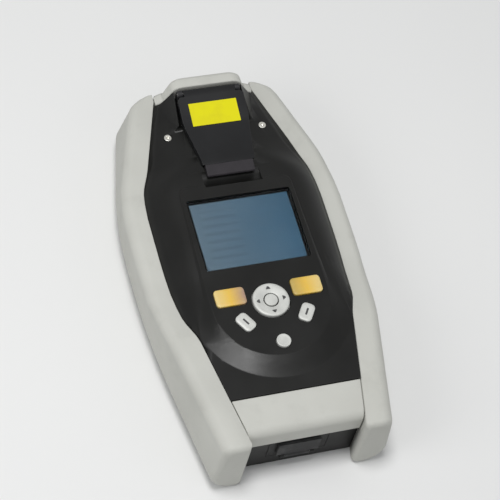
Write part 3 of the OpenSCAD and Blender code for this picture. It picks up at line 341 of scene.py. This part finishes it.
def upright(edge):
    """A test for edges that stand along Z."""
    run = edge.verts[1].co - edge.verts[0].co
    return abs(run.z) > 0.99 * run.length


def push(x, y, z):
    """Extrudes what is selected."""
    bpy.ops.mesh.extrude_region_move(TRANSFORM_OT_translate={"value": (x, y, z)})


def settle():
    """Back to object mode, with the piece's place in its mesh."""
    bpy.ops.object.mode_set(mode="OBJECT")
    bpy.ops.object.transform_apply(location=True, rotation=True, scale=True)


def block(place, size):
    """Starts a piece from a box and goes into edit mode."""
    bpy.ops.object.select_all(action="DESELECT")
    bpy.ops.mesh.primitive_cube_add(size=1, location=place, scale=size)
    settle()
    bpy.ops.object.mode_set(mode="EDIT")


def rod(place, radius, length, sides):
    """Starts a piece from an upright rod and goes into edit mode."""
    bpy.ops.object.select_all(action="DESELECT")
    bpy.ops.mesh.primitive_cylinder_add(vertices=sides, radius=radius, depth=length, location=place)
    settle()
    bpy.ops.object.mode_set(mode="EDIT")


def soften(width, segments=3, limit=30):
    """Rounds the sharp edges of the active piece."""
    bpy.ops.object.modifier_add(type="BEVEL")
    bevel = bpy.context.object.modifiers[-1]
    bevel.width = width
    bevel.segments = segments
    bevel.limit_method = "ANGLE"
    bevel.angle_limit = math.radians(limit)
    bpy.ops.object.modifier_apply(modifier=bevel.name)


def hand_over(name, body, material, stands_for=(), smooth=35):
    """Names the active piece, gives it its finish and sets it on its body."""
    piece = bpy.context.object
    bpy.ops.object.shade_smooth_by_angle(angle=math.radians(smooth))
    bpy.ops.object.modifier_add(type="WEIGHTED_NORMAL")
    even = piece.modifiers[-1]
    even.keep_sharp = True
    bpy.ops.object.modifier_apply(modifier=even.name)
    piece.name = piece.data.name = name
    piece.data.materials.clear()
    piece.data.materials.append(material)
    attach(piece, body)
    if stands_for:
        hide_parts(*stands_for)
    return piece


def ease_shield():
    """Evens out the slope around the keys where its arc runs into its straight sides."""
    low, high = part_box("nav_disc")
    disc = (low + high) / 2

    def on_flank(place, rim, turns):
        out = (place - disc).to_2d()
        turn = math.degrees(math.atan2(-out.y, abs(out.x)))
        return (place.z > SLOPE_FOOT and SLOPE[0] + rim < out.length < SLOPE[1] - rim
                and turns[0] < turn < turns[1])
    pick("VERT", lambda point: on_flank(point.co, SLOPE_RIM, SLOPE_END))
    bpy.ops.mesh.vertices_smooth(factor=0.5, repeat=10)
    pick("FACE", lambda face: face.normal.z > 0.5 and on_flank(face.calc_center_median(), 0, SLOPE_TURN))
    bpy.ops.mesh.subdivide(number_cuts=3)
    pick("VERT", lambda point: on_flank(point.co, SLOPE_RIM, SLOPE_TURN))
    bpy.ops.mesh.vertices_smooth(factor=0.5, repeat=60)


def blend_shoulders():
    """Runs both ends of the slope into the flanks beside the soft keys."""
    near, far = min(map(abs, SHOULDER_LINES)), max(map(abs, SHOULDER_LINES))
    low, high = SHOULDER_ROWS[0], SHOULDER_ROWS[-1]

    def reaches(face):
        if face.normal.z < 0.15 or face.calc_center_median().z < 52 * MM:
            return False
        across = [abs(point.co.x) for point in face.verts]
        along = [point.co.y for point in face.verts]
        return max(across) > near and min(across) < far and max(along) > low and min(along) < high
    for row in SHOULDER_ROWS:
        pick("FACE", reaches)
        bpy.ops.mesh.bisect(plane_co=(0, row, 0), plane_no=(0, 1, 0))
    for line in SHOULDER_LINES:
        pick("FACE", reaches)
        bpy.ops.mesh.bisect(plane_co=(line, 0, 0), plane_no=(1, 0, 0))
    for limit, rounds in SHOULDER_PASSES:
        pick("VERT", lambda point: point.normal.z > 0.15 and SHOULDER[0] < abs(point.co.x) < SHOULDER[1]
             and SHOULDER_LOW < point.co.y < limit and 52 * MM < point.co.z < SHIELD_TOP - 0.05 * MM)
        bpy.ops.mesh.vertices_smooth(factor=0.5, repeat=rounds)


def flush_posts():
    """Takes off the rims of the waist posts where they stand out of the falling flanks."""
    post_x, post_y, radius = WAIST_POST

    def proud(face):
        middle = face.calc_center_median()
        out = Vector((abs(middle.x) - post_x, middle.y - post_y))
        return middle.z > 56.5 * MM and out.x > 2.2 * MM and out.length < radius + 0.02 * MM

    def around(face):
        reach = min((Vector((abs(point.co.x) - post_x, point.co.y - post_y))).length for point in face.verts)
        return face.normal.z > 0.3 and face.calc_center_median().z > 52 * MM and reach < radius + 0.1 * MM
    pick("FACE", proud)
    bpy.ops.mesh.delete(type="FACE")
    pick("EDGE", lambda edge: edge.is_boundary)
    bpy.ops.mesh.fill_holes(sides=0)
    pick("FACE", around)
    bpy.ops.mesh.dissolve_limited(angle_limit=math.radians(4))


def even_face():
    """Mends the face where the crowned cover, its slope and its posts meet."""
    flush_posts()
    blend_shoulders()
    ease_shield()


def moulded(node, name, material, edge=0.0, smooth=35, ease=None):
    """A smooth copy of a solid, with its points merged and its edges rounded."""
    source = frame["nodes"][node]
    bpy.ops.object.select_all(action="DESELECT")
    source.select_set(True)
    bpy.context.view_layer.objects.active = source
    bpy.ops.object.duplicate()
    bpy.ops.object.parent_clear(type="CLEAR_KEEP_TRANSFORM")
    del bpy.context.object["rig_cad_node"]
    bpy.ops.object.mode_set(mode="EDIT")
    bpy.ops.mesh.select_all(action="SELECT")
    bpy.ops.mesh.remove_doubles(threshold=0.002 * MM)
    if ease:
        ease()
        bpy.ops.mesh.select_all(action="SELECT")
    bpy.ops.mesh.dissolve_limited(angle_limit=math.radians(1 if edge else 0.2))
    settle()
    if edge:
        soften(edge)
    return hand_over(name, NODE_BODY[node], material, [node], smooth)


def keycap(node, name, corner, material, turn=0.0):
    """A crowned key with round corners, on its flange and plunger."""
    low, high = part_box(node)
    middle = (low + high) / 2
    wide, tall, flange_wide, flange_tall = KEY_SIZES[node]
    plunger_r, plunger_l = KEY_PLUNGER
    flange_h = KEY_FLANGE[1]
    flange_top = low.z + plunger_l
    crown = 0.55 * MM
    block((0, 0, (flange_top + high.z - crown) / 2), (wide, tall, high.z - crown - flange_top))
    pick("EDGE", upright)
    bpy.ops.mesh.bevel(offset=corner, segments=6, affect="EDGES")
    pick("FACE", facing(0, 0, 1))
    bpy.ops.mesh.inset(thickness=0.9 * MM, depth=0.34 * MM)
    bpy.ops.mesh.inset(thickness=1.4 * MM, depth=0.21 * MM)
    pick("FACE", facing(0, 0, -1))
    foot = (0, 0, flange_top)
    push(0, 0, 0)
    bpy.ops.transform.resize(value=(flange_wide / wide, flange_tall / tall, 1), center_override=foot)
    push(0, 0, -flange_h)
    push(0, 0, 0)
    bpy.ops.transform.resize(value=(2 * plunger_r / flange_wide, 2 * plunger_r / flange_tall, 1),
                             center_override=foot)
    push(0, 0, flange_h - plunger_l)
    bpy.ops.object.mode_set(mode="OBJECT")
    piece = bpy.context.object
    piece.rotation_euler.z = math.radians(turn)
    piece.location = (middle.x, middle.y, 0)
    settle()
    soften(0.3 * MM, 3, 24)
    return hand_over(name, NODE_BODY[node], material, [node])


def round_key(node, name, radius, material):
    """A dished round key on its flange."""
    low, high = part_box(node)
    middle = (low + high) / 2
    plunger_r, plunger_l = KEY_PLUNGER
    flange_out, flange_h = KEY_FLANGE
    flange_top = low.z + plunger_l
    rod((middle.x, middle.y, (flange_top + high.z) / 2), radius, high.z - flange_top, 48)
    pick("FACE", facing(0, 0, 1))
    bpy.ops.mesh.inset(thickness=1.1 * MM)
    bpy.ops.mesh.inset(thickness=1.6 * MM, depth=-0.35 * MM)
    pick("FACE", facing(0, 0, -1))
    place = (middle.x, middle.y, flange_top)
    push(0, 0, 0)
    grown = (radius + flange_out) / radius
    bpy.ops.transform.resize(value=(grown, grown, 1), center_override=place)
    push(0, 0, -flange_h)
    push(0, 0, 0)
    shrunk = plunger_r / (radius + flange_out)
    bpy.ops.transform.resize(value=(shrunk, shrunk, 1), center_override=place)
    push(0, 0, flange_h - plunger_l)
    settle()
    soften(0.35 * MM, 3, 24)
    return hand_over(name, NODE_BODY[node], material, [node])


def disc_arrows(ink):
    """Four plain arrow marks on the navigation disc."""
    low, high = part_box("nav_disc")
    middle = (low + high) / 2
    rod((0, 0, 0), 2.0 * MM, 0.5 * MM, 3)
    pick("EDGE", upright)
    bpy.ops.mesh.bevel(offset=0.35 * MM, segments=3, affect="EDGES")
    settle()
    first = bpy.context.object
    first.rotation_euler.z = -math.pi / 2
    settle()
    arrows = [first]
    for quarter in range(1, 4):
        bpy.ops.object.select_all(action="DESELECT")
        first.select_set(True)
        bpy.context.view_layer.objects.active = first
        bpy.ops.object.duplicate()
        arrows.append(bpy.context.object)
    for quarter, arrow in enumerate(arrows):
        angle = quarter * math.pi / 2
        arrow.rotation_euler.z = angle
        arrow.location = (middle.x + DISC_MARK_RADIUS * math.cos(angle),
                          middle.y + DISC_MARK_RADIUS * math.sin(angle), high.z - 0.32 * MM)
    for arrow in arrows:
        arrow.select_set(True)
    bpy.context.view_layer.objects.active = first
    bpy.ops.object.join()
    settle()
    return hand_over("disc_arrows", "nav_disc_body", ink)


def key_mark(node, name, turn, ink):
    """A short plain bar printed on a small key."""
    low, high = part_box(node)
    middle = (low + high) / 2
    block((0, 0, 0), (1.4 * MM, 5.6 * MM, 0.16 * MM))
    pick("EDGE", upright)
    bpy.ops.mesh.bevel(offset=0.6 * MM, segments=4, affect="EDGES")
    bpy.ops.object.mode_set(mode="OBJECT")
    piece = bpy.context.object
    piece.rotation_euler.z = math.radians(turn)
    piece.location = (middle.x, middle.y, high.z - 0.06 * MM)
    settle()
    return hand_over(name, NODE_BODY[node], ink)


def screws(node, name, places, head, head_z, head_h, shank, shank_l, up, steel):
    """Round-headed screws with a six-sided socket, modelled once and copied."""
    rod((0, 0, head_h / 2), head, head_h, 40)
    pick("FACE", facing(0, 0, 1))
    bpy.ops.mesh.inset(thickness=head * 0.18)
    bpy.ops.mesh.inset(thickness=head * 0.2, depth=0.12 * MM)
    pick("FACE", facing(0, 0, -1))
    push(0, 0, 0)
    bpy.ops.transform.resize(value=(shank / head, shank / head, 1), center_override=(0, 0, 0))
    push(0, 0, -shank_l)
    settle()
    screw = bpy.context.object
    rod((0, 0, head_h), head * 0.46, 1.3 * head_h, 6)
    settle()
    socket = bpy.context.object
    bpy.ops.object.select_all(action="DESELECT")
    screw.select_set(True)
    bpy.context.view_layer.objects.active = screw
    bpy.ops.object.modifier_add(type="BOOLEAN")
    cut = screw.modifiers[-1]
    cut.operation = "DIFFERENCE"
    cut.object = socket
    bpy.ops.object.modifier_apply(modifier=cut.name)
    bpy.data.objects.remove(socket)
    soften(0.18 * MM, 2, 40)
    row = [screw]
    for place in places[1:]:
        bpy.ops.object.duplicate()
        row.append(bpy.context.object)
    for piece, (x, y) in zip(row, places):
        piece.rotation_euler.x = 0 if up else math.pi
        piece.location = (x * MM, y * MM, head_z)
    for piece in row:
        piece.select_set(True)
    bpy.context.view_layer.objects.active = screw
    bpy.ops.object.join()
    settle()
    return hand_over(name, NODE_BODY[node], steel, [node], 30)


def picture(panel):
    """The lit picture on top of the display module, under the window."""
    low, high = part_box("display_module")
    middle = (low + high) / 2
    block((middle.x, middle.y, high.z + 0.05 * MM), (SCREEN[0] - 1 * MM, SCREEN[1] - 1 * MM, 0.1 * MM))
    pick("EDGE", upright)
    bpy.ops.mesh.bevel(offset=0.8 * MM, segments=3, affect="EDGES")
    pick("FACE", facing(0, 0, 1))
    bpy.ops.mesh.inset(thickness=0.5 * MM, depth=-0.03 * MM)
    settle()
    return hand_over("screen_picture", "housing", panel)


def studio():
    """Pale floor, soft light from the upper left, and the photograph's camera."""
    scene = bpy.context.scene
    scene.view_settings.view_transform = "Standard"
    bpy.ops.object.select_all(action="DESELECT")
    bpy.ops.mesh.primitive_plane_add(size=1.8, location=(0, 0, -0.2 * MM))
    floor = bpy.context.object
    floor.name = "studio_floor"
    pale = Finish("pale_floor", {"Specular IOR Level": 0.1, "Roughness": 0.9})
    pale.colour(pale.mix(pale.spread(pale.noise(1.2, 3.0), 0.35, 0.7), (0.80, 0.80, 0.79), (0.77, 0.77, 0.765)))
    floor.data.materials.append(pale.material)

    world = bpy.data.worlds.new("soft_room")
    world.use_nodes = True
    scene.world = world
    nodes, links = world.node_tree.nodes, world.node_tree.links
    room, backdrop = nodes["Background"], nodes.new("ShaderNodeBackground")
    room.inputs["Color"].default_value = (0.96, 0.98, 1.0, 1.0)
    room.inputs["Strength"].default_value = 0.37
    backdrop.inputs["Color"].default_value = (0.62, 0.62, 0.615, 1.0)
    path, blend = nodes.new("ShaderNodeLightPath"), nodes.new("ShaderNodeMixShader")
    seen = path.outputs["Is Camera Ray"]
    for ray in ("Is Glossy Ray", "Is Transmission Ray"):
        either = nodes.new("ShaderNodeMath")
        either.operation = "MAXIMUM"
        links.new(seen, either.inputs[0])
        links.new(path.outputs[ray], either.inputs[1])
        seen = either.outputs[0]
    links.new(seen, blend.inputs[0])
    links.new(room.outputs[0], blend.inputs[1])
    links.new(backdrop.outputs[0], blend.inputs[2])
    links.new(blend.outputs[0], nodes["World Output"].inputs["Surface"])

    for name, place, size, power in (
        ("key_lamp", (-0.19, -0.04, 1.55), 0.44, 13.0),
        ("side_lamp", (-0.95, -0.25, 0.80), 0.7, 3.0),
        ("fill_lamp", (0.9, -0.9, 1.0), 1.2, 1.5),
    ):
        lamp = bpy.data.lights.new(name, "AREA")
        lamp.shape = "DISK"
        lamp.size = size
        lamp.energy = power
        holder = bpy.data.objects.new(name, lamp)
        scene.collection.objects.link(holder)
        holder.location = place
        holder.rotation_euler = (Vector((0, 0, 0.03)) - Vector(place)).to_track_quat("-Z", "Y").to_euler()

    camera = bpy.data.cameras.new("photo_camera")
    camera.sensor_width = 36.0
    camera.lens = PHOTO_LENS * ZOOM
    holder = bpy.data.objects.new("photo_camera", camera)
    scene.collection.objects.link(holder)
    holder.location = PHOTO_CAMERA
    holder.rotation_euler = [math.radians(a) for a in PHOTO_TURN]
    scene.camera = holder


def dress():
    """Gives every solid its finish and sets the modelled pieces in place."""
    rubber = bumper_rubber()
    front = housing_plastic("black_face_plastic", (0.0050, 0.0051, 0.0047), 0.34, 1500)
    back = housing_plastic("black_back_plastic", (0.011, 0.011, 0.0105), 0.50, 1100)
    cover = housing_plastic("black_cover_plastic", (0.0065, 0.0068, 0.0078), 0.34, 1800)
    inner = housing_plastic("dark_inner_plastic", (0.022, 0.022, 0.024), 0.52, 1300)
    silver, ink = key_silver(), printed_mark()
    steel = brushed_steel("screw_steel", (0.60, 0.60, 0.59), (4, 4, 40))
    pale_steel = brushed_steel("pale_screw_steel", (0.74, 0.73, 0.68), (40, 4, 4))
    optics = brushed_steel("anodised_metal", (0.36, 0.36, 0.37), (4, 40, 4))
    seal, board, lip, yellow = seal_rubber(), board_lacquer(), lip_plastic(), plate_yellow()
    glass, panel = window_glass(), screen_picture()

    for node, edge in (("bumper_left", 0), ("bumper_right", 0), ("bumper_hoop", 0), ("bumper_bar", 0.6 * MM)):
        moulded(node, node + "_rubber", rubber, edge, 42)
    moulded("front_cover", "face_shell", front, smooth=25, ease=even_face)
    moulded("rear_cover", "back_shell", back)
    moulded("sample_door", "cover_shell", cover, 0.5 * MM)
    moulded("thumb_lip", "cover_lip", lip, 0.4 * MM)
    moulded("door_plate", "cover_plate", yellow, 0.12 * MM)
    moulded("battery_door", "battery_lid", back, 0.12 * MM)
    moulded("port_cover", "port_lid", seal, 0.35 * MM)
    moulded("socket_panel", "socket_plate", back, 0.25 * MM)
    moulded("hinge_bracket", "hinge_ears", inner, 0.3 * MM)
    moulded("data_socket", "socket_shell", optics, 0.2 * MM)
    moulded("sample_well", "well_liner", optics, 0.25 * MM)
    moulded("battery_bay", "battery_box", back, 0.25 * MM)
    moulded("nav_disc", "disc_ring", silver, 0.2 * MM)
    moulded("nav_select", "disc_button", silver, 0.45 * MM)
    moulded("display_window", "screen_window", glass, 0.15 * MM)
    for node in ("door_pin", "battery_pin", "port_pin"):
        moulded(node, node + "_rod", steel, 0.2 * MM)

    # the last colour given to each amber key is its painted shade towards the disc
    keycap("soft_key_left", "amber_key_left", 2.6 * MM, key_amber("amber_left", -1, (0.37, 0.25, 0.20)))
    keycap("soft_key_right", "amber_key_right", 2.6 * MM, key_amber("amber_right", 1, (0.44, 0.32, 0.085)))
    keycap("arc_key_left", "small_key_left", 3.1 * MM, silver, 32)
    keycap("arc_key_right", "small_key_right", 3.1 * MM, silver, -32)
    round_key("power_key", "power_button", 5 * MM, silver)
    disc_arrows(ink)
    key_mark("arc_key_left", "small_mark_left", 32, ink)
    key_mark("arc_key_right", "small_mark_right", -32, ink)
    picture(panel)

    nose_low, nose_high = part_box("nose_screws")
    screws("nose_screws", "nose_screw_pair", NOSE_SCREWS, 2.7 * MM, nose_high.z - 1.7 * MM, 1.58 * MM,
           1.2 * MM, 7.5 * MM, True, pale_steel)
    back_low, back_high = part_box("housing_screws")
    screws("housing_screws", "back_screw_set", HOUSING_SCREWS, 2.8 * MM, back_low.z + 2 * MM, 1.88 * MM,
           1.5 * MM, back_high.z - back_low.z - 2 * MM, False, steel)

    for node, material in {
        "housing_gasket": seal, "keypad_mat": seal, "door_seal": seal,
        "display_module": inner, "nav_cross": inner, "battery_pack": inner,
        "keypad_board": board, "main_board": board,
        "keypad_screws": steel, "board_screws": steel,
        "lens_barrel": optics, "optical_plate": optics, "beam_block": optics, "laser_module": optics,
        "spectrometer_box": optics,
        "lens": glass,
    }.items():
        materials = frame["nodes"][node].data.materials
        materials.clear()
        materials.append(material)


studio()
dress()
